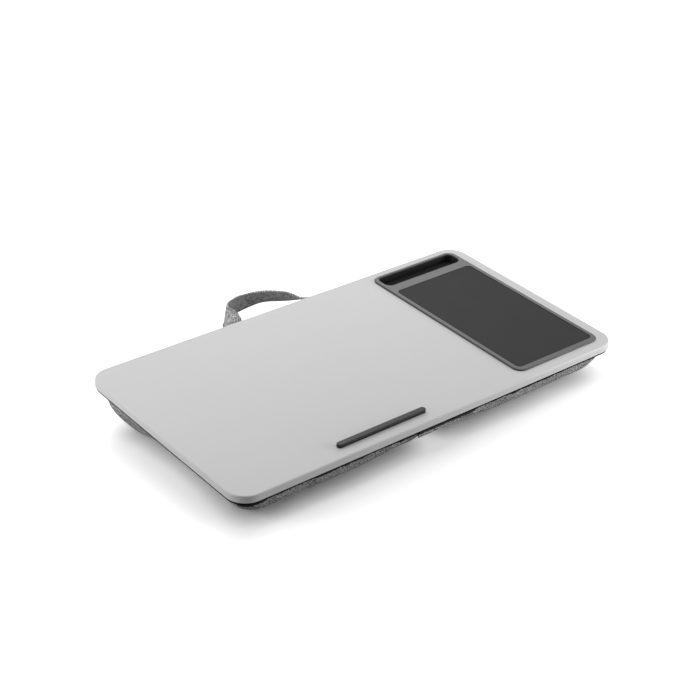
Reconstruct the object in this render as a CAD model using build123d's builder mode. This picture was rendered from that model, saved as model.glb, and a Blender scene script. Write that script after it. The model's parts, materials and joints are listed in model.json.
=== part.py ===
from build123d import *
import math
import os

# Lap tray: a thin laptop board on a wedge cushion of two bolsters.
# +X runs along the board to its right end, +Y from the user to the back edge, +Z up.
# The origin is on the resting surface, under the middle of the whole tray.
# Sizes are in millimetres.

# Board
board_length = 550
board_depth = 291
board_thickness = 8.5
board_corner_radius = 24
board_edge_radius = 1.6
board_tilt = 4.1  # degrees, the top face falls towards the user
back_edge_height = 66  # top face above the resting surface at the back edge

# Base panel under the board
panel_thickness = 2.5
panel_setback = 0.8

# Countersunk screws from the panel into the board
screw_radius = 1.5
screw_head_radius = 2.8
screw_head_height = 1.5
screw_length = 8
screw_clearance = 0.12
screw_tip_gap = 0.4
screw_end_distance = 27.5
screw_edge_distance = 9
screw_rows = 2
screws_per_row = 4
driver_slot_radius = 1
driver_slot_depth = 0.8

# Inlay frame: mouse pad window in front, phone slot behind it
frame_width = 133.3
frame_right_margin = 15.1
frame_front_margin = 14
frame_back_margin = 11
frame_corner_radius = 12
frame_rim_height = 2
frame_bevel = 1.2
frame_lip = 2
frame_plate_depth = 2
frame_fit = 0.15
frame_side_rim = 5.9  # frame outline to window
frame_front_rim = 7  # frame outline to window
frame_back_rim = 4  # frame outline to slot
window_corner_radius = 6.5
window_floor = 1.5
slot_width = 24.2
slot_gap = 14.2  # band between window and slot
slot_corner_radius = 8.5
slot_depth = 11.4
slot_wall = 1.3
slot_mouth_round = 0.5
slot_lip_round = 1.2  # the slot's back wall curves out to the frame's top
slot_lip_turn = 70  # degrees
slot_lip_steps = 3

# Liner in the phone slot
liner_thickness = 0.8
liner_clearance = 0.2
liner_below_rim = 1.4

# Mouse pad and adhesive sheets
pad_thickness = 1.75
pad_clearance = 0.5
tape_thickness = 0.25
tape_setback = 3

# Stop bar near the front edge
bar_length = 123
bar_width = 7.6
bar_height = 4
bar_front_margin = 15
bar_top_round = 1
peg_radius = 2
peg_length = 5
peg_clearance = 0.05
peg_spacing = 90

# Cushion
seam_setback = 5  # board edge to the cushion's seam
lining_thickness = 1
lining_corner_radius = 23
valley_width = 16
cover_thickness = 1.4
filling_clearance = 0.3
wall_slope = 7
side_round = 18  # how far the outer and inner walls tuck under
end_round = 37  # how far the front and back walls tuck under
side_draw_in = 14
end_bulge = 3
bolster_corner_radius = 24
valley_corner_radius = 22
seam_draw_share = 0.3  # of the full draw-in and bulge, kept at the seam
flat_cut = 0.5
web_depth = 7
web_clearance = 0.3
web_setback = 1.5
web_flare_width = 37  # at the front and back ends, between the bolsters' rounded corners
web_flare_clearance = 1

# Strap handle at the back edge
strap_width = 24
strap_thickness = 2
strap_screw_gap = 8  # from the strap's edge to the line of the screws beside it
strap_tail = 34
strap_clearance = 0.3
strap_edge_gap = 0.6  # turned up, the strap clears the board's back edge by this
strap_flat_length = 10
loop_reach = 68
loop_shift = 6  # mid loop lies this far to the left
loop_droop = 14  # degrees, how far the loop hangs below the board's plane
strap_lean = 61  # degrees, how far the strap turns onto its edge in mid loop
lean_power = 0.5

# Values that follow
half_length = board_length / 2
half_depth = board_depth / 2
panel_level = -board_thickness
lining_level = panel_level - panel_thickness
cushion_level = lining_level - lining_thickness
tilt_sine = math.sin(math.radians(board_tilt))
tilt_cosine = math.cos(math.radians(board_tilt))
overrun = board_thickness

screw_spacing_x = (board_length - 2 * screw_end_distance) / (screws_per_row - 1)
screw_spacing_y = board_depth - 2 * screw_edge_distance
strap_spacing = screw_spacing_x - strap_width - 2 * strap_screw_gap

frame_length = board_depth - frame_front_margin - frame_back_margin
window_width = frame_width - 2 * frame_side_rim
window_length = frame_length - frame_front_rim - frame_back_rim - slot_gap - slot_width
slot_length = window_width
frame_x = half_length - frame_right_margin - frame_width / 2
frame_y = -half_depth + frame_front_margin + frame_length / 2
window_y = frame_y - frame_length / 2 + frame_front_rim + window_length / 2
slot_y = window_y + window_length / 2 + slot_gap + slot_width / 2
window_level = window_floor - frame_plate_depth
slot_level = frame_rim_height - slot_depth
slot_lip_start = frame_rim_height - slot_lip_round * math.sin(math.radians(slot_lip_turn))

bar_x = (frame_x - frame_width / 2 - half_length) / 2
bar_y = -half_depth + bar_front_margin + bar_width / 2

web_length = board_depth - 2 * (seam_setback + web_setback)
strap_level = cushion_level + strap_thickness / 2
hinge_y = half_depth + strap_edge_gap + strap_thickness / 2
strap_end_y = hinge_y - strap_thickness / 2 - strap_clearance


# A section across the strap, in the plane in which the loop hangs, with the hinge line at Y = 0
strap_turns = range(0, 181, 12)


def strap_plane(turn):
    across = math.cos(math.radians(turn))
    out = math.sin(math.radians(turn))
    middle = Vector(
        -strap_spacing / 2 * across - loop_shift * out**2,
        strap_flat_length + loop_reach * out,
        0,
    )
    along = Vector(strap_spacing / 2 * out - 2 * loop_shift * out * across, loop_reach * across, 0)
    lean = math.radians(strap_lean) * out**lean_power
    inward = along.normalized().cross(Vector(0, 0, 1))
    wide = inward * math.cos(lean) + Vector(0, 0, 1) * math.sin(lean)
    return Plane(origin=middle, x_dir=wide, z_dir=along)


# The board's own frame: its top face is tilted about X, and the whole tray is centred on Y = 0
handle_tilt = math.radians(board_tilt - loop_droop)


def corner_reach(turn, side, face):
    corner = Vector(side * strap_width / 2, face * strap_thickness / 2, 0)
    point = strap_plane(turn).from_local_coords(corner)
    return point.Y * math.cos(handle_tilt) - point.Z * math.sin(handle_tilt)


loop_end = max(
    corner_reach(turn, side, face) for turn in strap_turns for side in (-1, 1) for face in (-1, 1)
)
strap_reach = hinge_y * tilt_cosine - strap_level * tilt_sine + loop_end
front_reach = -half_depth * tilt_cosine + board_edge_radius * (tilt_cosine + tilt_sine - 1)
deck = Plane(
    origin=(0, -(strap_reach + front_reach) / 2, back_edge_height - half_depth * tilt_sine),
    x_dir=(1, 0, 0),
    z_dir=(0, -tilt_sine, tilt_cosine),
)
deck_up = Axis(deck.origin, deck.z_dir)


def level(height):
    return deck.offset(height)


def underside(height):
    return Plane(origin=level(height).origin, x_dir=(1, 0, 0), z_dir=-deck.z_dir)


# The plane in which the loop hangs: its origin is on the hinge line
loop_plane = Plane(
    origin=deck.from_local_coords(Vector(0, hinge_y, strap_level)),
    x_dir=(1, 0, 0),
    z_dir=(0, -math.sin(handle_tilt), math.cos(handle_tilt)),
)


def on_loop(section):
    origin = loop_plane.from_local_coords(section.origin)
    return Plane(
        origin=origin,
        x_dir=loop_plane.from_local_coords(section.origin + section.x_dir) - origin,
        z_dir=loop_plane.from_local_coords(section.origin + section.z_dir) - origin,
    )


os.makedirs("parts", exist_ok=True)


def write(piece, name):
    piece.part.label = name
    export_step(piece.part, f"parts/{name}.step")


# Top board, with the inlay's pocket, the slot's cut-out and the holes for pegs and screws
with BuildPart() as top_board:
    with BuildSketch(deck):
        RectangleRounded(board_length, board_depth, board_corner_radius)
    extrude(amount=-board_thickness)
    fillet(top_board.faces().sort_by(deck_up)[-1].outer_wire().edges(), board_edge_radius)
    with BuildSketch(deck):
        with Locations((frame_x, frame_y)):
            RectangleRounded(
                frame_width - 2 * frame_lip,
                frame_length - 2 * frame_lip,
                frame_corner_radius - frame_lip,
            )
    extrude(amount=-frame_plate_depth - tape_thickness, mode=Mode.SUBTRACT)
    with BuildSketch(deck):
        with Locations((frame_x, slot_y)):
            RectangleRounded(
                slot_length + 2 * (slot_wall + frame_fit),
                slot_width + 2 * (slot_wall + frame_fit),
                slot_corner_radius + slot_wall + frame_fit,
            )
    extrude(amount=-board_thickness, mode=Mode.SUBTRACT)
    with BuildSketch(deck):
        with Locations((bar_x, bar_y)):
            with GridLocations(peg_spacing, 0, 2, 1):
                Circle(peg_radius + peg_clearance)
    extrude(amount=-peg_length - screw_tip_gap, mode=Mode.SUBTRACT)
    with BuildSketch(level(panel_level)):
        with GridLocations(screw_spacing_x, screw_spacing_y, screws_per_row, screw_rows):
            Circle(screw_radius + screw_clearance)
    extrude(amount=screw_length - panel_thickness + screw_tip_gap, mode=Mode.SUBTRACT)
write(top_board, "top_board")

# Base panel, with countersinks, the slot's cut-out and a shallow recess for each strap end
with BuildPart() as base_panel:
    with BuildSketch(level(panel_level)):
        RectangleRounded(
            board_length - 2 * panel_setback,
            board_depth - 2 * panel_setback,
            board_corner_radius - panel_setback,
        )
    extrude(amount=-panel_thickness)
    with BuildSketch(level(panel_level)):
        with Locations((frame_x, slot_y)):
            RectangleRounded(
                slot_length + 2 * (slot_wall + frame_fit),
                slot_width + 2 * (slot_wall + frame_fit),
                slot_corner_radius + slot_wall + frame_fit,
            )
    extrude(amount=-panel_thickness, mode=Mode.SUBTRACT)
    with BuildSketch(level(lining_level)):
        with Locations((0, half_depth - (strap_tail - overrun) / 2)):
            with GridLocations(strap_spacing, 0, 2, 1):
                Rectangle(strap_width + 2 * strap_clearance, strap_tail + overrun + 2 * strap_clearance)
    extrude(amount=strap_thickness - lining_thickness, mode=Mode.SUBTRACT)
    with Locations(underside(lining_level)):
        with GridLocations(screw_spacing_x, screw_spacing_y, screws_per_row, screw_rows):
            CounterSinkHole(
                radius=screw_radius + screw_clearance,
                counter_sink_radius=screw_head_radius + screw_clearance,
                depth=panel_thickness,
                counter_sink_angle=2 * math.degrees(
                    math.atan((screw_head_radius - screw_radius) / screw_head_height)
                ),
            )
write(base_panel, "base_panel")

# Screws: cone head with a driver socket, flush with the panel's underside
with BuildPart() as panel_screws:
    with BuildSketch(underside(lining_level)):
        with GridLocations(screw_spacing_x, screw_spacing_y, screws_per_row, screw_rows):
            Circle(screw_head_radius)
    extrude(
        amount=-screw_head_height,
        taper=math.degrees(math.atan((screw_head_radius - screw_radius) / screw_head_height)),
    )
    with BuildSketch(underside(lining_level)):
        with GridLocations(screw_spacing_x, screw_spacing_y, screws_per_row, screw_rows):
            Circle(screw_radius)
    extrude(amount=-screw_length)
    with BuildSketch(underside(lining_level)):
        with GridLocations(screw_spacing_x, screw_spacing_y, screws_per_row, screw_rows):
            RegularPolygon(driver_slot_radius, 6)
    extrude(amount=-driver_slot_depth, mode=Mode.SUBTRACT)
write(panel_screws, "panel_screws")

# Inlay frame: raised rim with a bevelled outer edge, plate in the board's pocket, deep slot tray.
# The slot's back wall widens upwards through rings that follow an arc.
with BuildPart() as inlay_frame:
    with BuildSketch(deck):
        with Locations((frame_x, frame_y)):
            RectangleRounded(frame_width, frame_length, frame_corner_radius)
    extrude(amount=frame_rim_height)
    chamfer(inlay_frame.faces().sort_by(deck_up)[-1].outer_wire().edges(), frame_bevel)
    with BuildSketch(deck):
        with Locations((frame_x, frame_y)):
            RectangleRounded(
                frame_width - 2 * (frame_lip + frame_fit),
                frame_length - 2 * (frame_lip + frame_fit),
                frame_corner_radius - frame_lip,
            )
    extrude(amount=-frame_plate_depth)
    with BuildSketch(deck):
        with Locations((frame_x, slot_y)):
            RectangleRounded(
                slot_length + 2 * slot_wall,
                slot_width + 2 * slot_wall,
                slot_corner_radius + slot_wall,
            )
    extrude(amount=slot_level - slot_wall)
    with BuildSketch(level(window_level)):
        with Locations((frame_x, window_y)):
            RectangleRounded(window_width, window_length, window_corner_radius)
    extrude(amount=frame_plate_depth + frame_rim_height, mode=Mode.SUBTRACT)
    with BuildSketch(level(slot_level)):
        with Locations((frame_x, slot_y)):
            RectangleRounded(slot_length, slot_width, slot_corner_radius)
    extrude(amount=slot_depth, mode=Mode.SUBTRACT)
    for lip_step in range(slot_lip_steps + 1):
        lip_turn = math.radians(slot_lip_turn * lip_step / slot_lip_steps)
        lip_width = slot_width + slot_lip_round * (1 - math.cos(lip_turn))
        with BuildSketch(level(slot_lip_start + slot_lip_round * math.sin(lip_turn))):
            with Locations((frame_x, slot_y + (lip_width - slot_width) / 2)):
                RectangleRounded(slot_length, lip_width, slot_corner_radius)
    loft(mode=Mode.SUBTRACT)
    slot_mouth = inlay_frame.faces().sort_by(deck_up)[-1].inner_wires().sort_by(SortBy.LENGTH)[0]
    fillet(slot_mouth.edges(), slot_mouth_round)
write(inlay_frame, "inlay_frame")

# Adhesive sheet under the frame's plate, cut out round the slot tray
with BuildPart() as frame_tape:
    with BuildSketch(level(-frame_plate_depth)):
        with Locations((frame_x, frame_y)):
            RectangleRounded(
                frame_width - 2 * (frame_lip + tape_setback),
                frame_length - 2 * (frame_lip + tape_setback),
                frame_corner_radius - frame_lip - tape_setback,
            )
        with Locations((frame_x, slot_y)):
            RectangleRounded(
                slot_length + 2 * (slot_wall + frame_fit),
                slot_width + 2 * (slot_wall + frame_fit),
                slot_corner_radius + slot_wall + frame_fit,
                mode=Mode.SUBTRACT,
            )
    extrude(amount=-tape_thickness)
write(frame_tape, "frame_tape")

# Soft liner standing in the phone slot
with BuildPart() as slot_liner:
    with BuildSketch(level(slot_level)):
        with Locations((frame_x, slot_y)):
            RectangleRounded(
                slot_length - 2 * liner_clearance,
                slot_width - 2 * liner_clearance,
                slot_corner_radius - liner_clearance,
            )
    extrude(amount=slot_depth - liner_below_rim)
    with BuildSketch(level(slot_level + liner_thickness)):
        with Locations((frame_x, slot_y)):
            RectangleRounded(
                slot_length - 2 * (liner_clearance + liner_thickness),
                slot_width - 2 * (liner_clearance + liner_thickness),
                slot_corner_radius - liner_clearance - liner_thickness,
            )
    extrude(amount=slot_depth, mode=Mode.SUBTRACT)
write(slot_liner, "slot_liner")

# Mouse pad on its adhesive sheet, in the frame's window
with BuildPart() as pad_tape:
    with BuildSketch(level(window_level)):
        with Locations((frame_x, window_y)):
            RectangleRounded(
                window_width - 2 * tape_setback,
                window_length - 2 * tape_setback,
                window_corner_radius - tape_setback,
            )
    extrude(amount=tape_thickness)
write(pad_tape, "pad_tape")

with BuildPart() as mouse_pad:
    with BuildSketch(level(window_level + tape_thickness)):
        with Locations((frame_x, window_y)):
            RectangleRounded(
                window_width - 2 * pad_clearance,
                window_length - 2 * pad_clearance,
                window_corner_radius - pad_clearance,
            )
    extrude(amount=pad_thickness)
write(mouse_pad, "mouse_pad")

# Stop bar: round-ended strip with a domed top and two pegs in the board
with BuildPart() as stop_bar:
    with BuildSketch(deck):
        with Locations((bar_x, bar_y)):
            SlotOverall(bar_length, bar_width)
    extrude(amount=bar_height)
    fillet(stop_bar.faces().sort_by(deck_up)[-1].outer_wire().edges(), bar_top_round)
    with BuildSketch(deck):
        with Locations((bar_x, bar_y)):
            with GridLocations(peg_spacing, 0, 2, 1):
                Circle(peg_radius)
    extrude(amount=-peg_length)
write(stop_bar, "stop_bar")

# Lining: the cushion's flat top cloth, notched round the strap ends
with BuildPart() as cushion_lining:
    with BuildSketch(level(lining_level)):
        RectangleRounded(
            board_length - 2 * seam_setback,
            board_depth - 2 * seam_setback,
            lining_corner_radius,
        )
        with Locations((0, half_depth - (strap_tail - overrun) / 2)):
            with GridLocations(strap_spacing, 0, 2, 1):
                Rectangle(
                    strap_width + 2 * strap_clearance,
                    strap_tail + overrun + 2 * strap_clearance,
                    mode=Mode.SUBTRACT,
                )
    extrude(amount=-lining_thickness)
write(cushion_lining, "cushion_lining")


# A bolster's form: rings that slope in and round under from the seam to the resting surface.
# skin is how far the form lies inside the cushion's outer face.
ring_turns = (0, 15, 30, 45, 60, 75, 90)


def ring_plane(drop_share, skin):
    top = level(cushion_level).origin
    bottom = Vector(0, top.Y, skin - flat_cut)
    turn = math.radians(board_tilt * (1 - drop_share))
    return Plane(
        origin=top + (bottom - top) * drop_share,
        x_dir=(1, 0, 0),
        z_dir=(0, -math.sin(turn), math.cos(turn)),
    )


def bolster_form(skin):
    with BuildPart() as form:
        for ring_turn in ring_turns:
            drop_share = math.sin(math.radians(ring_turn))
            tuck_share = 1 - math.cos(math.radians(ring_turn))
            draw_share = 1 - (1 - drop_share) ** 2 * (1 - seam_draw_share)
            inset = seam_setback + skin + wall_slope * drop_share
            inner = valley_width / 2 - seam_setback + inset + side_round * tuck_share
            outer = half_length - inset - side_round * tuck_share
            end = half_depth - inset - end_round * tuck_share
            swell = end + end_bulge * draw_share
            middle = (inner + outer) / 2
            with BuildSketch(ring_plane(drop_share, skin)) as ring:
                with BuildLine():
                    ThreePointArc((inner, -end), (middle, -swell), (outer, -end))
                    ThreePointArc((outer, -end), (outer - side_draw_in * draw_share, 0), (outer, end))
                    ThreePointArc((outer, end), (middle, swell), (inner, end))
                    Line((inner, end), (inner, -end))
                make_face()
                fillet(ring.vertices().sort_by(Axis.X)[:2], valley_corner_radius)
                fillet(ring.vertices().sort_by(Axis.X)[-2:], bolster_corner_radius)
        loft()
        split(bisect_by=Plane.XY.offset(skin), keep=Keep.TOP)
    return form.part


outer_form = bolster_form(0)
inner_form = bolster_form(cover_thickness)
filling_form = bolster_form(cover_thickness + filling_clearance)

# Covers: cloth skins, open at the seam where the lining closes them
with BuildPart() as cover_right:
    add(outer_form)
    add(inner_form, mode=Mode.SUBTRACT)
write(cover_right, "cover_right")

with BuildPart() as cover_left:
    mirror(cover_right.part, about=Plane.YZ)
write(cover_left, "cover_left")

# Fillings
with BuildPart() as filling_right:
    add(filling_form)
write(filling_right, "filling_right")

with BuildPart() as filling_left:
    mirror(filling_form, about=Plane.YZ)
write(filling_left, "filling_left")

# Padded web that joins the two bolsters in the valley, flared between their rounded corners
with BuildPart() as centre_web:
    with BuildSketch(level(cushion_level)):
        Rectangle(valley_width - 2 * web_clearance, web_length)
        with GridLocations(0, web_length - valley_corner_radius, 1, 2):
            Rectangle(web_flare_width, valley_corner_radius)
        with GridLocations(
            valley_width + 2 * valley_corner_radius,
            board_depth - 2 * (seam_setback + valley_corner_radius),
            2,
            2,
        ):
            Circle(valley_corner_radius + web_flare_clearance, mode=Mode.SUBTRACT)
    extrude(amount=-web_depth)
write(centre_web, "centre_web")

# Strap ends, sewn flat under the panel
for side, name in ((-1, "strap_end_left"), (1, "strap_end_right")):
    with BuildPart() as strap_end:
        with BuildSketch(level(cushion_level)):
            with Locations((side * strap_spacing / 2, (half_depth - strap_tail + strap_end_y) / 2)):
                Rectangle(strap_width, strap_end_y - half_depth + strap_tail)
        extrude(amount=strap_thickness)
    write(strap_end, name)

# Handle strap: a rounded edge on the hinge line, a flat stretch, then turned onto its edge round the loop
with BuildPart() as handle_strap:
    for turn in strap_turns:
        with BuildSketch(on_loop(strap_plane(turn))):
            Rectangle(strap_width, strap_thickness)
    loft()
    with BuildSketch(loop_plane):
        with Locations((0, strap_flat_length / 2)):
            with GridLocations(strap_spacing, 0, 2, 1):
                Rectangle(strap_width, strap_flat_length)
    extrude(amount=strap_thickness / 2, both=True)
    with Locations(loop_plane):
        with GridLocations(strap_spacing, 0, 2, 1):
            Cylinder(strap_thickness / 2, strap_width, rotation=(0, 90, 0))
write(handle_strap, "handle_strap")
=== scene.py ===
import json
import math

import bpy
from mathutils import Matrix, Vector, noise


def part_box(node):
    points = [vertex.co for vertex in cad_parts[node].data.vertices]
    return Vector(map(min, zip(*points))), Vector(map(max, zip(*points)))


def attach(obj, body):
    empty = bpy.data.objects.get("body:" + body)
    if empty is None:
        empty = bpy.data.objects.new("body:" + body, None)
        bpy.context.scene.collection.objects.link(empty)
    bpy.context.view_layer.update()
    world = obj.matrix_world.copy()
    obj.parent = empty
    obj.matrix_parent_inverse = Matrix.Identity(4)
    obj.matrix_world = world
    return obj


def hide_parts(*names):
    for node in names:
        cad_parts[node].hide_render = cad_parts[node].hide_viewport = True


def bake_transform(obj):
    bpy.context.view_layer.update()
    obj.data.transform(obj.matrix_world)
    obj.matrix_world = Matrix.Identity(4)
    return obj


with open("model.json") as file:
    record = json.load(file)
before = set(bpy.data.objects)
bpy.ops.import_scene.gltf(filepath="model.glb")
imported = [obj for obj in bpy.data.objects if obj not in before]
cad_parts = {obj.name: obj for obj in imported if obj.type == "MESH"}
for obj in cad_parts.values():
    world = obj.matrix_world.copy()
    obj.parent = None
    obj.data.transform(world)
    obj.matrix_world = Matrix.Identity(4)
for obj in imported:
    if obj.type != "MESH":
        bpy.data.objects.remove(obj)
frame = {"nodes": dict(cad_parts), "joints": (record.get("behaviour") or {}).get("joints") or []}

nodes = frame["nodes"]
hinge = Vector(frame["joints"][0]["pos_m"])
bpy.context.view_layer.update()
mm = 0.001
print("frame loaded:", len(nodes), "nodes")

# the board's own directions, because its top face falls towards the user
deck = dict(tilt=math.radians(4.1), panelMiddleBelow=9.75 * mm, length=550 * mm, depth=291 * mm,
            liningTop=-11 * mm, cushionTop=-12 * mm)
deckBack = Vector((0, math.cos(deck["tilt"]), math.sin(deck["tilt"])))
deckUp = Vector((0, -math.sin(deck["tilt"]), math.cos(deck["tilt"])))
panelLow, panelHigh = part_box("base_panel")
deckMiddle = (panelLow + panelHigh) / 2 + deckUp * deck["panelMiddleBelow"]


def onDeck(x, y, z):
    return deckMiddle + Vector((x, 0, 0)) + deckBack * y + deckUp * z


def heightOnDeck(point):
    return (point - deckMiddle).dot(deckUp)


def alongDeck(point):
    return (point - deckMiddle).dot(deckBack)


def belowSeam(point):
    return deck["cushionTop"] - heightOnDeck(point)


def smoothStep(low, high, value):
    share = min(1, max(0, (value - low) / (high - low)))
    return share * share * (3 - 2 * share)


# modelling helpers
def selectOnly(piece):
    if bpy.context.object and bpy.context.object.mode != "OBJECT":
        bpy.ops.object.mode_set(mode="OBJECT")
    bpy.ops.object.select_all(action="DESELECT")
    piece.select_set(True)
    bpy.context.view_layer.objects.active = piece


def applyModifier(piece, kind, **settings):
    selectOnly(piece)
    modifier = piece.modifiers.new(kind.title(), kind)
    for key, value in settings.items():
        setattr(modifier, key, value)
    bpy.ops.object.modifier_apply(modifier=modifier.name)


def editAll(piece):
    selectOnly(piece)
    bpy.ops.object.mode_set(mode="EDIT")
    bpy.ops.mesh.select_all(action="SELECT")


def copyOfNode(nodeName, pieceName, mergeWithin=0.01 * mm):
    # a CAD mesh is loose triangles, so its copy is merged first
    piece = bpy.data.objects.new(pieceName, nodes[nodeName].data.copy())
    bpy.context.scene.collection.objects.link(piece)
    piece.data.materials.clear()
    editAll(piece)
    bpy.ops.mesh.remove_doubles(threshold=mergeWithin)
    bpy.ops.mesh.normals_make_consistent(inside=False)
    bpy.ops.object.mode_set(mode="OBJECT")
    return piece


def nudge(piece, move):
    # move gives a vertex's step from its place and normal; all normals are read first
    normals = [vertex.normal.copy() for vertex in piece.data.vertices]
    for vertex, normal in zip(piece.data.vertices, normals):
        vertex.co += move(vertex.co, normal)


def sideways(normal):
    return normal - deckUp * normal.dot(deckUp)


def keepOnFloor(piece):
    for vertex in piece.data.vertices:
        vertex.co.z = max(vertex.co.z, 0)


def finishCloth(piece, material):
    # weave coordinates in metres on the piece's own UV map
    editAll(piece)
    bpy.ops.uv.cube_project(cube_size=1.0, correct_aspect=False)
    bpy.ops.object.mode_set(mode="OBJECT")
    selectOnly(piece)
    bpy.ops.object.shade_smooth()
    piece.data.materials.clear()
    piece.data.materials.append(material)


# material helpers
def addNode(material, kind, inputs=(), **settings):
    made = material.node_tree.nodes.new(kind)
    for key, value in settings.items():
        setattr(made, key, value)
    for key, value in dict(inputs).items():
        if isinstance(value, bpy.types.NodeSocket):
            material.node_tree.links.new(value, made.inputs[key])
        else:
            made.inputs[key].default_value = value
    return made


def startMaterial(name):
    material = bpy.data.materials.new(name)
    material.use_nodes = True
    shader = material.node_tree.nodes["Principled BSDF"]
    return material, shader


def setShader(shader, **values):
    for key, value in values.items():
        shader.inputs[key.replace("_", " ")].default_value = value


def grey(value):
    return (value, value, value, 1)


def ramp(material, factor, stops):
    made = addNode(material, "ShaderNodeValToRGB", {"Fac": factor})
    elements = made.color_ramp.elements
    while len(elements) < len(stops):
        elements.new(1)
    for element, (place, colour) in zip(elements, stops):
        element.position = place
        element.color = colour if isinstance(colour, tuple) else grey(colour)
    return made.outputs["Color"]


def calc(material, operation, first, second=0.0):
    made = addNode(material, "ShaderNodeMath", {0: first, 1: second}, operation=operation)
    return made.outputs[0]


def times(material, first, second):
    return calc(material, "MULTIPLY", first, second)


def plus(material, first, second):
    return calc(material, "ADD", first, second)


def minus(material, first, second):
    return calc(material, "SUBTRACT", first, second)


def wave(material, place, length):
    return calc(material, "SINE", times(material, place, 2 * math.pi / length))


def noiseOf(material, place, scale, detail, **more):
    inputs = {"Vector": place, "Scale": scale, "Detail": detail}
    inputs.update({key.title(): value for key, value in more.items()})
    return addNode(material, "ShaderNodeTexNoise", inputs).outputs["Fac"]


def mixColour(material, share, first, second, blend="MIX"):
    made = addNode(material, "ShaderNodeMix", {0: share, 6: first, 7: second}, data_type="RGBA",
                   blend_type=blend)
    return made.outputs[2]


def addRelief(material, shader, height, strength, depth):
    relief = addNode(material, "ShaderNodeBump",
                     {"Height": height, "Strength": strength, "Distance": depth})
    material.node_tree.links.new(relief.outputs["Normal"], shader.inputs["Normal"])


# a matt or satin finish: soft mottling, painted shade that makes slopes and walls darker, fine
# grain in the relief
moulded = dict(cloudScale=14.0, cloudDetail=4.0, cloudRoughness=0.55, grainDetail=3.0,
               grainRoughness=0.6, cloudShare=0.6, grainShare=0.4, darkFrom=0.3, lightFrom=0.7,
               steep=0.75, level=0.97, glossSpread=0.06, reliefStrength=0.6)


def mouldedMaterial(name, colour, roughness, grainSize, grainDepth, mottle, paintedSlopeShade=1.0,
                    **shaderSettings):
    material, shader = startMaterial(name)
    place = addNode(material, "ShaderNodeTexCoord").outputs["Object"]
    cloud = noiseOf(material, place, moulded["cloudScale"], moulded["cloudDetail"],
                    roughness=moulded["cloudRoughness"])
    grain = noiseOf(material, place, 1 / grainSize, moulded["grainDetail"],
                    roughness=moulded["grainRoughness"])
    blended = plus(material, times(material, cloud, moulded["cloudShare"]),
                   times(material, grain, moulded["grainShare"]))
    darkFrom, lightFrom = moulded["darkFrom"], moulded["lightFrom"]
    tone = ramp(material, blended, ((darkFrom, colour * (1 - mottle)),
                                    (lightFrom, colour * (1 + mottle))))
    # painted shade: faces turned away from the deck's up direction get a darker colour
    if paintedSlopeShade < 1:
        facing = addNode(material, "ShaderNodeTexCoord").outputs["Normal"]
        level = addNode(material, "ShaderNodeVectorMath", {0: facing, 1: tuple(deckUp)},
                        operation="DOT_PRODUCT").outputs["Value"]
        shade = ramp(material, level, ((moulded["steep"], paintedSlopeShade), (moulded["level"], 1.0)))
        tone = mixColour(material, 1.0, tone, shade, "MULTIPLY")
    material.node_tree.links.new(tone, shader.inputs["Base Color"])
    smooth, rough = 1 - moulded["glossSpread"], 1 + moulded["glossSpread"]
    gloss = ramp(material, cloud, ((darkFrom, roughness * smooth),
                                   (lightFrom, min(1, roughness * rough))))
    material.node_tree.links.new(gloss, shader.inputs["Roughness"])
    addRelief(material, shader, grain, moulded["reliefStrength"], grainDepth)
    setShader(shader, **shaderSettings)
    return material


# two-way yarns of mixed light and dark fibres, on the UV map in metres
yarn = dict(topContrast=2.0, evenShare=0.5, fleckDetail=3.0, fleckRoughness=0.7, cloudScale=60.0,
            cloudDetail=3.0, cloudMiddle=0.5, creviceShadeEnd=0.35, netFrom=0.55, netTo=0.95,
            netHeight=1.2, dashFrom=-0.5, grooveWidth=1.4, grooveShadeShare=0.45, grooveShadeTone=0.08,
            stitchHeight=2.0, reliefStrength=0.8)


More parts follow.
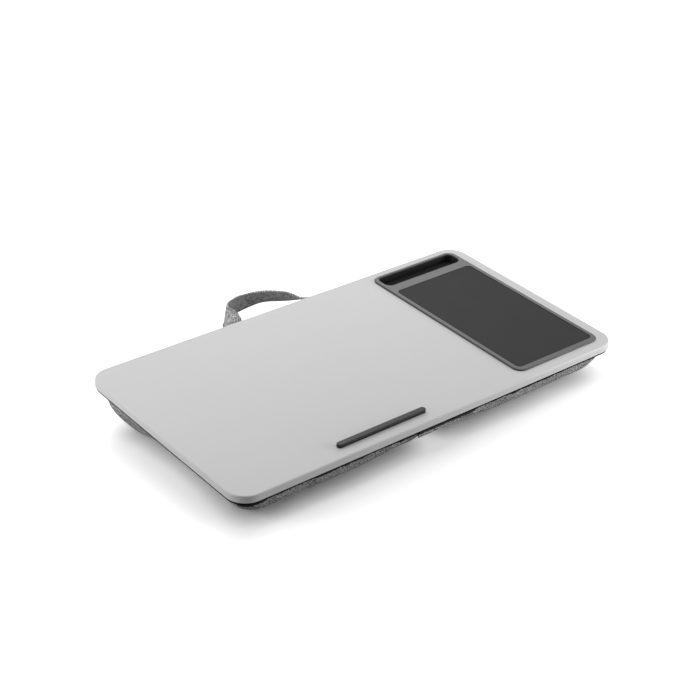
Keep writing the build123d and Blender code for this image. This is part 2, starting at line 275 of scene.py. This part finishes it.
def heatherFabric(name, weave):
    material, shader = startMaterial(name)
    place = addNode(material, "ShaderNodeUVMap").outputs["UV"]
    split = addNode(material, "ShaderNodeSeparateXYZ", {"Vector": place})
    across, along = split.outputs["X"], split.outputs["Y"]
    # over says which yarn is on top
    over = times(material, wave(material, across, weave["pitch"]),
                 wave(material, along, weave["pitch"]))
    onTop = plus(material, times(material, over, yarn["topContrast"]), yarn["evenShare"])
    flecks = []
    for sizes in ((weave["fleckLength"], weave["fleckWidth"]),
                  (weave["fleckWidth"], weave["fleckLength"])):
        stretched = addNode(material, "ShaderNodeMapping",
                            {"Vector": place, "Scale": (1 / sizes[0], 1 / sizes[1], 1)})
        flecks.append(noiseOf(material, stretched.outputs["Vector"], 1.0, yarn["fleckDetail"],
                              roughness=yarn["fleckRoughness"]))
    mixed = addNode(material, "ShaderNodeMix", {0: onTop, 2: flecks[0], 3: flecks[1]},
                    data_type="FLOAT", clamp_factor=True).outputs[0]
    cloud = noiseOf(material, place, yarn["cloudScale"], yarn["cloudDetail"])
    clouding = times(material, minus(material, cloud, yarn["cloudMiddle"]), weave["clouding"])
    tone = ramp(material, plus(material, mixed, clouding), weave["tones"])
    height = calc(material, "ABSOLUTE", over)
    # painted shade: the weave is darker in the hollows between crossing yarns
    creviceShade = ramp(material, height, ((0.0, weave["creviceShade"]), (yarn["creviceShadeEnd"], 1.0)))
    tone = mixColour(material, 1.0, tone, creviceShade, "MULTIPLY")
    if "diamond" in weave:
        lattice = calc(material, "MAXIMUM",
                       wave(material, plus(material, across, along), weave["diamond"]),
                       wave(material, minus(material, across, along), weave["diamond"]))
        net = ramp(material, lattice, ((yarn["netFrom"], weave["diamondShade"]),
                                       (yarn["netTo"], 1.0)))
        tone = mixColour(material, 1.0, tone, net, "MULTIPLY")
        height = plus(material, height, times(material, lattice, yarn["netHeight"]))
    if "stitchLines" in weave:
        # a dashed sewing line along both edges, lying in a shallow groove that is painted shade: a
        # darker band with no relief of its own
        centred = calc(material, "ABSOLUTE", minus(material, along, weave["width"] / 2))
        offLine = calc(material, "ABSOLUTE", minus(material, centred, weave["stitchLines"]))
        onLine = calc(material, "LESS_THAN", offLine, weave["threadWidth"] / 2)
        dash = calc(material, "GREATER_THAN", wave(material, across, weave["stitchLength"]),
                    yarn["dashFrom"])
        stitch = times(material, onLine, dash)
        groove = calc(material, "LESS_THAN", offLine, weave["threadWidth"] * yarn["grooveWidth"])
        tone = mixColour(material, times(material, groove, yarn["grooveShadeShare"]), tone,
                         grey(yarn["grooveShadeTone"]))
        tone = mixColour(material, stitch, tone, grey(weave["threadTone"]))
        height = plus(material, height, times(material, stitch, yarn["stitchHeight"]))
    material.node_tree.links.new(tone, shader.inputs["Base Color"])
    addRelief(material, shader, height, yarn["reliefStrength"], weave["relief"])
    setShader(shader, Roughness=0.95, Specular_IOR_Level=0.2, Sheen_Weight=0.15,
              Sheen_Roughness=0.5)
    return material


# plain black cloth: a flat even weave with a little fuzz in its tone
blackWeave = dict(colour=0.016, pitch=1.0 * mm, fuzzScale=900.0, fuzzDetail=2.0,
                  dark=(0.35, 0.7), light=(0.65, 1.35), reliefStrength=0.6, relief=0.1 * mm)


def plainCloth(name, weave):
    material, shader = startMaterial(name)
    place = addNode(material, "ShaderNodeTexCoord").outputs["Object"]
    split = addNode(material, "ShaderNodeSeparateXYZ", {"Vector": place})
    over = times(material, wave(material, split.outputs["X"], weave["pitch"]),
                 wave(material, split.outputs["Y"], weave["pitch"]))
    fuzz = noiseOf(material, place, weave["fuzzScale"], weave["fuzzDetail"])
    tone = ramp(material, fuzz, [(stop, weave["colour"] * share)
                                 for stop, share in (weave["dark"], weave["light"])])
    material.node_tree.links.new(tone, shader.inputs["Base Color"])
    addRelief(material, shader, over, weave["reliefStrength"], weave["relief"])
    setShader(shader, Roughness=0.95, Sheen_Weight=0.1)
    return material


# loose polyester fibre: pale tangled strands
fibreLook = dict(scale=160.0, detail=6.0, roughness=0.7, distortion=2.5, reliefStrength=1.0,
                 relief=1.5 * mm, tones=((0.35, (0.66, 0.66, 0.63, 1)), (0.6, (0.9, 0.9, 0.88, 1))))


def fibreMaterial(name, look):
    material, shader = startMaterial(name)
    place = addNode(material, "ShaderNodeTexCoord").outputs["Object"]
    tangle = noiseOf(material, place, look["scale"], look["detail"],
                     roughness=look["roughness"], distortion=look["distortion"])
    tone = ramp(material, tangle, look["tones"])
    material.node_tree.links.new(tone, shader.inputs["Base Color"])
    addRelief(material, shader, tangle, look["reliefStrength"], look["relief"])
    setShader(shader, Roughness=1.0, Sheen_Weight=0.3)
    return material


# the rigid pieces keep their CAD shapes and get their finishes here
# each finish: name, colour, roughness, grain size, grain depth, mottle
finishes = {
    "board_grey": mouldedMaterial("laminate light grey", 0.66, 0.5, 0.6 * mm, 0.012 * mm, 0.012),
    "panel_black": mouldedMaterial("hardboard black", 0.005, 0.8, 1.2 * mm, 0.05 * mm, 0.25,
                                   Specular_IOR_Level=0.1),
    "zinc_steel": mouldedMaterial("zinc plate", 0.6, 0.35, 0.3 * mm, 0.01 * mm, 0.08,
                                  Metallic=1.0),
    # painted shade on the frame's bevels and walls
    "frame_grey": mouldedMaterial("moulded frame grey", 0.155, 0.5, 0.5 * mm, 0.03 * mm, 0.05,
                                  paintedSlopeShade=0.45),
    "adhesive": mouldedMaterial("adhesive sheet", 0.8, 0.6, 2 * mm, 0.02 * mm, 0.03),
    "liner_black": mouldedMaterial("soft liner black", 0.012, 0.85, 0.4 * mm, 0.03 * mm, 0.2),
    "pad_charcoal": mouldedMaterial("textured pad charcoal", 0.03, 0.75, 0.45 * mm, 0.06 * mm,
                                    0.12, Specular_IOR_Level=0.4),
    # painted shade on the bar's front face and slopes
    "bar_black": mouldedMaterial("satin bar", 0.026, 0.42, 0.4 * mm, 0.02 * mm, 0.08,
                                 paintedSlopeShade=0.3),
}
for nodeName, finish in (("top_board", "board_grey"), ("base_panel", "panel_black"),
                         ("panel_screws", "zinc_steel"), ("inlay_frame", "frame_grey"),
                         ("frame_tape", "adhesive"), ("slot_liner", "liner_black"),
                         ("pad_tape", "adhesive"), ("mouse_pad", "pad_charcoal"),
                         ("stop_bar", "bar_black")):
    nodes[nodeName].data.materials.clear()
    nodes[nodeName].data.materials.append(finishes[finish])
print("rigid pieces finished:", len(finishes), "materials")

heatherWeave = dict(pitch=1.8 * mm, fleckLength=3.4 * mm, fleckWidth=1.5 * mm, creviceShade=0.6,
                    clouding=0.1, relief=0.25 * mm,
                    tones=((0.4, 0.05), (0.47, 0.16), (0.53, 0.42), (0.6, 0.85)))
heather = heatherFabric("heather weave", heatherWeave)
blackClothAndSeamShade = plainCloth("black lining cloth and painted seam shade", blackWeave)
fibre = fibreMaterial("polyester fibre", fibreLook)


# each bolster's cover swells from its filling, grown out to the cloth first
bolster = dict(voxel=4.5 * mm, grow=1.0 * mm, pressure=4.0, cap=2.2 * mm, slack=-0.012, frames=20,
               heldDepth=1.2 * mm, gatherHeight=1.4 * mm, gatherWidth=7.5 * mm,
               gatherStretch=0.12, gatherDepth=22 * mm, gatherRise=2.5 * mm, seamTuck=3.0 * mm,
               seamDepth=5 * mm)
# the covers' outer back corners: where they are, which way they lean out, and how much
corner = dict(x=258 * mm, y=128 * mm, reach=32 * mm, outwardX=0.79, outwardY=0.61,
              full=2.2 * mm, fullAt=22 * mm, fullWidth=9 * mm, tuck=2.8 * mm, tuckFrom=3 * mm,
              tuckTo=14 * mm)
# painted shade: a band of black cloth along the seam stands in for the shade under the board's
# edge; it hangs lower at two places, painted shadow of the dark wedges there, each given in mm by
# its x, its place along the deck, how much it hangs and how far that reaches
paintedSeamShade = dict(depth=5.4 * mm, shadowSagDepth=17 * mm, shadowSags=((-262, -136, 5, 20), (42, -140, 2.4, 14)))


def swellCloth(piece):
    start = [vertex.co.copy() for vertex in piece.data.vertices]
    held = piece.vertex_groups.new(name="held")
    rim = deck["cushionTop"] - bolster["heldDepth"]
    held.add([vertex.index for vertex in piece.data.vertices if heightOnDeck(vertex.co) > rim],
             1.0, "REPLACE")
    selectOnly(piece)
    cloth = piece.modifiers.new("Cloth", "CLOTH")
    cloth.settings.use_pressure = True
    cloth.settings.uniform_pressure_force = bolster["pressure"]
    cloth.settings.shrink_min = bolster["slack"]
    cloth.settings.vertex_group_mass = "held"
    cloth.settings.effector_weights.gravity = 0
    cloth.point_cache.frame_start = 1
    cloth.point_cache.frame_end = bolster["frames"]
    for frameNumber in range(1, bolster["frames"] + 1):
        bpy.context.scene.frame_set(frameNumber)
    bpy.ops.object.modifier_apply(modifier="Cloth")
    bpy.context.scene.frame_set(1)
    piece.vertex_groups.clear()
    # no vertex ends further from its start than the cap
    cap = bolster["cap"]
    for vertex, before in zip(piece.data.vertices, start):
        step = vertex.co - before
        if step.length > 0:
            vertex.co = before + step * (cap / step.length * math.tanh(step.length / cap))


def foldBelowSeam(place, normal):
    # small upright folds below the seam, fading down the wall
    below = belowSeam(place)
    if not 0 < below < bolster["gatherDepth"]:
        return Vector()
    spot = place / bolster["gatherWidth"]
    fold = noise.noise(Vector((spot.x, spot.y, spot.z * bolster["gatherStretch"])))
    share = smoothStep(0, bolster["gatherRise"], below)
    share *= 1 - smoothStep(0, bolster["gatherDepth"], below)
    return sideways(normal) * fold * bolster["gatherHeight"] * share


def tuckAtSeam(place, normal):
    # the cloth turns in towards its seam
    share = 1 - smoothStep(0, bolster["seamDepth"], belowSeam(place))
    return sideways(normal) * -bolster["seamTuck"] * share


def standCorner(piece):
    # the outer back corner stands upright: in below the seam, full further down
    for vertex in piece.data.vertices:
        across = vertex.co.x
        away = math.hypot(abs(across) - corner["x"], alongDeck(vertex.co) - corner["y"])
        below = belowSeam(vertex.co)
        push = math.exp(-((below - corner["fullAt"]) / corner["fullWidth"]) ** 2) * corner["full"]
        push -= (1 - smoothStep(corner["tuckFrom"], corner["tuckTo"], below)) * corner["tuck"]
        outward = Vector((math.copysign(corner["outwardX"], across), 0, 0))
        outward += deckBack * corner["outwardY"]
        vertex.co += outward * push * math.exp(-(away / corner["reach"]) ** 2)


def paintSeamShade(piece):
    # painted shade: a clean line round the piece below its top, black above it, standing in for the
    # shade under the board's edge
    level = deck["cushionTop"] - paintedSeamShade["depth"]
    editAll(piece)
    bpy.ops.mesh.bisect(plane_co=tuple(deckMiddle + deckUp * level), plane_no=tuple(deckUp))
    bpy.ops.object.mode_set(mode="OBJECT")
    piece.data.materials.append(blackClothAndSeamShade)
    for face in piece.data.polygons:
        if heightOnDeck(face.center) > level:
            face.material_index = 1
    # the black band is pulled lower at the sags, painted shadow of the dark wedges
    for vertex in piece.data.vertices:
        below = belowSeam(vertex.co)
        share = smoothStep(0, paintedSeamShade["depth"], below)
        share *= 1 - smoothStep(paintedSeamShade["depth"], paintedSeamShade["shadowSagDepth"], below)
        for x, y, sag, width in paintedSeamShade["shadowSags"]:
            away = math.hypot(x * mm - vertex.co.x, y * mm - alongDeck(vertex.co)) / (width * mm)
            vertex.co -= deckUp * sag * mm * share * math.exp(-away ** 2)


for side in ("right", "left"):
    cover = copyOfNode("filling_" + side, "bolster_cover_" + side)
    applyModifier(cover, "REMESH", mode="VOXEL", voxel_size=bolster["voxel"])
    nudge(cover, lambda place, normal: normal * bolster["grow"])
    swellCloth(cover)
    for vertex in cover.data.vertices:
        vertex.co -= deckUp * max(0, -belowSeam(vertex.co))
    keepOnFloor(cover)
    applyModifier(cover, "SUBSURF", levels=1, render_levels=1)
    nudge(cover, foldBelowSeam)
    nudge(cover, tuckAtSeam)
    standCorner(cover)
    keepOnFloor(cover)
    finishCloth(cover, heather)
    paintSeamShade(cover)
    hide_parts("cover_" + side)
    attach(cover, "tray")
    print("bolster cover", side, "made:", len(cover.data.polygons), "faces")

# the fibre inside each cover
filling = dict(voxel=7 * mm, inset=2.5 * mm, lump=0.8 * mm, lumpWidth=22 * mm)


def shrinkInLumps(place, normal):
    lump = noise.noise(place / filling["lumpWidth"])
    return -normal * (filling["inset"] + filling["lump"] * lump)


for side in ("right", "left"):
    pillow = copyOfNode("filling_" + side, "fibre_filling_" + side)
    applyModifier(pillow, "REMESH", mode="VOXEL", voxel_size=filling["voxel"])
    nudge(pillow, shrinkInLumps)
    selectOnly(pillow)
    bpy.ops.object.shade_smooth()
    pillow.data.materials.append(fibre)
    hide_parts("filling_" + side)
    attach(pillow, "tray")
print("fillings made")

# padded web between the bolsters, puckered along one sewn channel on its underside
# both ends change along the board, each change by where it starts, where it is full and how much:
# flare and tip widen by a share of the width, reach moves outward and drop hangs lower
web = dict(voxel=1.7 * mm, smoothBy=0.5, smoothTimes=4, flatTop=0.5 * mm, rippleFull=4 * mm,
           hangFull=5 * mm, channelDepth=1.6 * mm, channelWidth=2.2 * mm, pucker=0.35 * mm,
           puckerWidth=9 * mm, ripple=0.35 * mm, rippleWidth=14 * mm,
           flare=(118 * mm, 128 * mm, 0.25), tip=(136.5 * mm, 139.2 * mm, 0.72),
           reach=(130 * mm, 139 * mm, 1.3 * mm), drop=(124 * mm, 136 * mm, 3.2 * mm))
webPiece = copyOfNode("centre_web", "valley_web")
webTop = max(heightOnDeck(vertex.co) for vertex in webPiece.data.vertices)
applyModifier(webPiece, "REMESH", mode="VOXEL", voxel_size=web["voxel"])
applyModifier(webPiece, "SMOOTH", factor=web["smoothBy"], iterations=web["smoothTimes"])


def puckerWeb(place, normal):
    ripple = noise.noise(place / web["rippleWidth"]) * web["ripple"]
    share = smoothStep(web["flatTop"], web["rippleFull"], webTop - heightOnDeck(place))
    channel = web["channelDepth"] * math.exp(-(place.x / web["channelWidth"]) ** 2)
    pucker = web["pucker"] * math.sin(2 * math.pi * place.y / web["puckerWidth"])
    facingDown = max(0, -normal.dot(deckUp))
    return (normal * (ripple + pucker) + deckUp * channel * facingDown) * share


def changeAtEnds(part, along):
    start, full, amount = web[part]
    return amount * smoothStep(start, full, abs(along))


nudge(webPiece, puckerWeb)
for vertex in webPiece.data.vertices:
    along = alongDeck(vertex.co)
    vertex.co.x *= 1 + changeAtEnds("flare", along) + changeAtEnds("tip", along)
    vertex.co += deckBack * math.copysign(changeAtEnds("reach", along), along)
    hanging = smoothStep(web["flatTop"], web["hangFull"], webTop - heightOnDeck(vertex.co))
    vertex.co -= deckUp * changeAtEnds("drop", along) * hanging
finishCloth(webPiece, heather)
paintSeamShade(webPiece)
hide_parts("centre_web")
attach(webPiece, "tray")
print("web made:", len(webPiece.data.polygons), "faces")

# lining cloth between the panel and the cushion, notched round the strap ends
lining = dict(setback=5 * mm, corner=23 * mm, cornerSteps=10, thickness=0.8 * mm,
              notchWidth=24.6 * mm, notchDepth=34.3 * mm, strapSpacing=125 * mm,
              edgeRound=0.25 * mm, smoothBelow=35)
halfX = deck["length"] / 2 - lining["setback"]
halfY = deck["depth"] / 2 - lining["setback"]
bpy.ops.object.select_all(action="DESELECT")
bpy.ops.mesh.primitive_plane_add(size=1, location=(0, 0, 0))
liningPiece = bpy.context.object
liningPiece.name = "cushion_top_cloth"
liningPiece.scale = (2 * halfX, 2 * halfY, 1)
bpy.ops.object.transform_apply(location=False, rotation=False, scale=True)
editAll(liningPiece)
bpy.ops.mesh.bevel(offset=lining["corner"], segments=lining["cornerSteps"], affect="VERTICES")
notchFront = deck["depth"] / 2 - lining["notchDepth"]
notchEdges = [side * lining["strapSpacing"] / 2 + half * lining["notchWidth"] / 2
              for side in (-1, 1) for half in (-1, 1)]
for edge in notchEdges:
    bpy.ops.mesh.select_all(action="SELECT")
    bpy.ops.mesh.bisect(plane_co=(edge, 0, 0), plane_no=(1, 0, 0))
bpy.ops.mesh.select_all(action="SELECT")
bpy.ops.mesh.bisect(plane_co=(0, notchFront, 0), plane_no=(0, 1, 0))
bpy.ops.mesh.select_mode(type="FACE")
bpy.ops.mesh.select_all(action="DESELECT")
bpy.ops.object.mode_set(mode="OBJECT")
for face in liningPiece.data.polygons:
    offStrap = abs(abs(face.center.x) - lining["strapSpacing"] / 2)
    face.select = face.center.y > notchFront and offStrap < lining["notchWidth"] / 2
bpy.ops.object.mode_set(mode="EDIT")
bpy.ops.mesh.delete(type="FACE")
bpy.ops.object.mode_set(mode="OBJECT")
for vertex in liningPiece.data.vertices:
    vertex.co = onDeck(vertex.co.x, vertex.co.y, (deck["liningTop"] + deck["cushionTop"]) / 2)
applyModifier(liningPiece, "SOLIDIFY", thickness=lining["thickness"], offset=0)
applyModifier(liningPiece, "BEVEL", width=lining["edgeRound"], segments=2, limit_method="ANGLE")
liningPiece.data.materials.append(blackClothAndSeamShade)
selectOnly(liningPiece)
bpy.ops.object.shade_smooth_by_angle(angle=math.radians(lining["smoothBelow"]))
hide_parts("cushion_lining")
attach(liningPiece, "tray")
print("lining made")


# the handle is one strap: flat under the panel, then turned onto its edge round the loop
# route: along the board, away from it and up from the hinge line in mm, and how far the strap
# turns onto its edge in degrees
strap = dict(width=24 * mm, thickness=1.9 * mm, spacing=125 * mm, tail=35.1 * mm, tailSteps=24,
             route=((-62.5, 0, 0, 0), (-62, 16.5, -4.8, 0), (-59.5, 24, -2.4, 40),
                    (-52.7, 45, -7.6, 80), (-34.5, 62.3, -12.8, 83), (-11.6, 70.5, -15.9, 83),
                    (15.8, 64.6, -12.9, 64), (40.2, 43.4, -10.2, 53), (57, 20, -8.2, 14),
                    (62.5, 9, -2.8, 0), (62.5, 0, 0, 0)),
             stepsBetween=14, stepsAlong=190, stepsAcross=8, edgeRound=0.7 * mm,
             roundAbove=50, wobble=0.3 * mm, wobbleWidth=16 * mm, wobbleFull=30 * mm)


def smoothRoute(stations, steps):
    # an even curve through the stations, each one a point and a lean
    ends = [[2 * p - q for p, q in zip(stations[0], stations[1])]]
    ends += [list(station) for station in stations]
    ends += [[2 * p - q for p, q in zip(stations[-1], stations[-2])]]
    made = []
    for index in range(1, len(ends) - 2):
        for step in range(steps):
            t = step / steps
            made.append([0.5 * (2 * b + (c - a) * t + (2 * a - 5 * b + 4 * c - d) * t ** 2
                                + (3 * b - a - 3 * c + d) * t ** 3)
                         for a, b, c, d in zip(*ends[index - 1:index + 3])])
    made.append(list(stations[-1]))
    return made


def strapSections():
    # (middle, direction across the strap), from the left end under the panel to the right end
    half, tailSteps = strap["spacing"] / 2, strap["tailSteps"]
    leftEnd = []
    for step in range(tailSteps):
        inside = deckBack * strap["tail"] * (1 - step / tailSteps)
        leftEnd.append((hinge + Vector((-half, 0, 0)) - inside, Vector((1, 0, 0))))
    loop = []
    points = smoothRoute(strap["route"], strap["stepsBetween"])
    places = [hinge + (Vector((x, 0, 0)) + deckBack * y + deckUp * z) * mm
              for x, y, z, lean in points]
    for index, place in enumerate(places):
        before, after = places[max(index - 1, 0)], places[min(index + 1, len(places) - 1)]
        along = (after - before).normalized()
        if index in (0, len(places) - 1):
            along = deckBack if index == 0 else -deckBack
        inward = along.cross(deckUp).normalized()
        up = inward.cross(along)
        lean = math.radians(points[index][3])
        loop.append((place, inward * math.cos(lean) + up * math.sin(lean)))
    rightEnd = [(Vector((-middle.x, middle.y, middle.z)), -wide)
                for middle, wide in reversed(leftEnd)]
    return leftEnd + loop + rightEnd


sections = strapSections()
lengths = [0.0]
for (before, _), (after, _) in zip(sections, sections[1:]):
    lengths.append(lengths[-1] + (after - before).length)
strapLength = lengths[-1]


def sectionAt(distance):
    index = 0
    while index < len(lengths) - 2 and lengths[index + 1] < distance:
        index += 1
    share = (distance - lengths[index]) / max(lengths[index + 1] - lengths[index], 1e-9)
    middle = sections[index][0].lerp(sections[index + 1][0], share)
    wide = sections[index][1].lerp(sections[index + 1][1], share).normalized()
    return middle, wide


def wobbleStrap(place, normal):
    # uneven only where the strap is free
    free = smoothStep(0, strap["wobbleFull"], (place - hinge).dot(deckBack))
    return normal * noise.noise(place / strap["wobbleWidth"]) * strap["wobble"] * free


bpy.ops.object.select_all(action="DESELECT")
bpy.ops.mesh.primitive_grid_add(x_subdivisions=strap["stepsAlong"],
                                y_subdivisions=strap["stepsAcross"], size=1)
strapPiece = bpy.context.object
strapPiece.name = "carry_strap"
for loop in strapPiece.data.uv_layers.active.data:
    loop.uv = (loop.uv[0] * strapLength, loop.uv[1] * strap["width"])
for vertex in strapPiece.data.vertices:
    distance, offset = (vertex.co.x + 0.5) * strapLength, vertex.co.y * strap["width"]
    middle, wide = sectionAt(distance)
    vertex.co = middle + wide * offset
applyModifier(strapPiece, "SOLIDIFY", thickness=strap["thickness"], offset=0)
applyModifier(strapPiece, "BEVEL", width=strap["edgeRound"], segments=3, limit_method="ANGLE",
              angle_limit=math.radians(strap["roundAbove"]))
nudge(strapPiece, wobbleStrap)
selectOnly(strapPiece)
bpy.ops.object.shade_smooth()
strapWeave = dict(heatherWeave, width=strap["width"], diamond=3.4 * mm, diamondShade=0.45,
                  stitchLines=9.3 * mm, threadWidth=0.7 * mm, stitchLength=3.6 * mm,
                  threadTone=0.5, creviceShade=0.75, fleckLength=5.5 * mm, fleckWidth=2.6 * mm,
                  tones=((0.41, 0.3), (0.48, 0.62), (0.52, 0.9), (0.59, 1.0)))
strapPiece.data.materials.append(heatherFabric("heather strap", strapWeave))
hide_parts("handle_strap", "strap_end_left", "strap_end_right")
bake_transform(strapPiece)
print("strap made, length", round(strapLength, 4))

# floor, light and camera
# for the camera alone the floor glows to plain white away from the tray, from whiteFrom to
# whiteBy, and stays dark where it is closed in, a painted contact shadow, which is looked for
# within nearReach
stage = dict(size=14.0, belowTray=0.05 * mm, floorTone=0.5, roughness=0.9, shadowLift=0.42,
             nearReach=24 * mm, nearDark=0.2, nearLight=0.88, nearSamples=8, depthScale=1.6,
             whiteFrom=0.31, whiteBy=0.75, worldTone=0.15)
bpy.ops.object.select_all(action="DESELECT")
bpy.ops.mesh.primitive_plane_add(size=stage["size"], location=(0, 0, -stage["belowTray"]))
floor = bpy.context.object
floor.name = "studio_floor"
floorMaterial, floorShader = startMaterial("studio floor")
floorSeen = addNode(floorMaterial, "ShaderNodeLightPath").outputs["Is Camera Ray"]
setShader(floorShader, Roughness=stage["roughness"], Specular_IOR_Level=0.0)
floorTone = mixColour(floorMaterial, floorSeen, grey(stage["floorTone"]), grey(1.0))
floorMaterial.node_tree.links.new(floorTone, floorShader.inputs["Base Color"])
spot = addNode(floorMaterial, "ShaderNodeTexCoord").outputs["Object"]
oval = addNode(floorMaterial, "ShaderNodeMapping",
               {"Vector": spot, "Scale": (1.0, stage["depthScale"], 1.0)})
away = addNode(floorMaterial, "ShaderNodeVectorMath", {0: oval.outputs["Vector"]},
               operation="LENGTH").outputs["Value"]
fade = addNode(floorMaterial, "ShaderNodeMapRange",
               {"Value": away, "From Min": stage["whiteFrom"], "From Max": stage["whiteBy"],
                "To Min": stage["shadowLift"], "To Max": 1.0},
               interpolation_type="SMOOTHSTEP").outputs["Result"]
# painted shadow: ambient occlusion dims the camera's glow next to the tray
openSky = addNode(floorMaterial, "ShaderNodeAmbientOcclusion", {"Distance": stage["nearReach"]},
                  samples=stage["nearSamples"]).outputs["AO"]
openSky = ramp(floorMaterial, openSky, ((stage["nearDark"], 0.0), (stage["nearLight"], 1.0)))
strength = times(floorMaterial, floorSeen, times(floorMaterial, fade, openSky))
glow = addNode(floorMaterial, "ShaderNodeEmission", {"Color": grey(1.0), "Strength": strength})
lifted = addNode(floorMaterial, "ShaderNodeAddShader",
                 {0: floorShader.outputs[0], 1: glow.outputs[0]})
floorOutput = floorMaterial.node_tree.nodes["Material Output"]
floorMaterial.node_tree.links.new(lifted.outputs[0], floorOutput.inputs[0])
floor.data.materials.append(floorMaterial)

world = bpy.data.worlds.new("pale studio")
bpy.context.scene.world = world
world.use_nodes = True
sky = world.node_tree.nodes["Background"]
skyRay = addNode(world, "ShaderNodeLightPath").outputs
skySeen = calc(world, "MAXIMUM", skyRay["Is Camera Ray"], skyRay["Is Transmission Ray"])
skyTone = mixColour(world, skySeen, grey(stage["worldTone"]), grey(1.0))
world.node_tree.links.new(skyTone, sky.inputs["Color"])
sky.inputs["Strength"].default_value = 1.0


def turnTowards(thing, place, target):
    thing.location = place
    direction = Vector(target) - Vector(place)
    thing.rotation_euler = direction.to_track_quat("-Z", "Y").to_euler()


lamps = (
    dict(name="back softbox", place=(0.15, 0.8, 0.85), aim=(0.0, 0.0, 0.05), size=0.8,
         watts=4.3),
    dict(name="overhead softbox", place=(0.0, 0.1, 1.3), aim=(0.0, 0.0, 0.05), size=1.0,
         watts=5.5),
    dict(name="back right softbox", place=(0.8, 0.8, 0.6), aim=(0.0, 0.0, 0.05), size=0.6,
         watts=2.2),
    dict(name="left low softbox", place=(-0.9, 0.3, 0.25), aim=(-0.2, 0.0, 0.05), size=0.4,
         watts=3.6),
    dict(name="right softbox", place=(0.9, -0.6, 0.3), aim=(0.2, -0.1, 0.05), size=0.5,
         watts=3.7),
    dict(name="front right low softbox", place=(0.75, -0.75, 0.15), aim=(0.25, -0.15, 0.04),
         size=0.3, watts=3.7),
)
for lamp in lamps:
    light = bpy.data.lights.new(lamp["name"], "AREA")
    light.shape = "SQUARE"
    light.size = lamp["size"]
    light.energy = lamp["watts"]
    lightObject = bpy.data.objects.new(lamp["name"], light)
    bpy.context.scene.collection.objects.link(lightObject)
    lightObject.visible_camera = False
    turnTowards(lightObject, lamp["place"], lamp["aim"])

view = dict(place=(-1.0482, -1.3117, 0.9420), target=(0.00107, -0.02172, 0.05612), lens=83.74,
            sensor=36.0, nearest=0.05, furthest=60.0)
cameraData = bpy.data.cameras.new("photo view")
cameraData.lens = view["lens"]
cameraData.sensor_width = view["sensor"]
cameraData.clip_start = view["nearest"]
cameraData.clip_end = view["furthest"]
camera = bpy.data.objects.new("photo view", cameraData)
bpy.context.scene.collection.objects.link(camera)
turnTowards(camera, view["place"], view["target"])
bpy.context.scene.camera = camera
bpy.context.scene.view_settings.view_transform = "Standard"

print("scene ready")
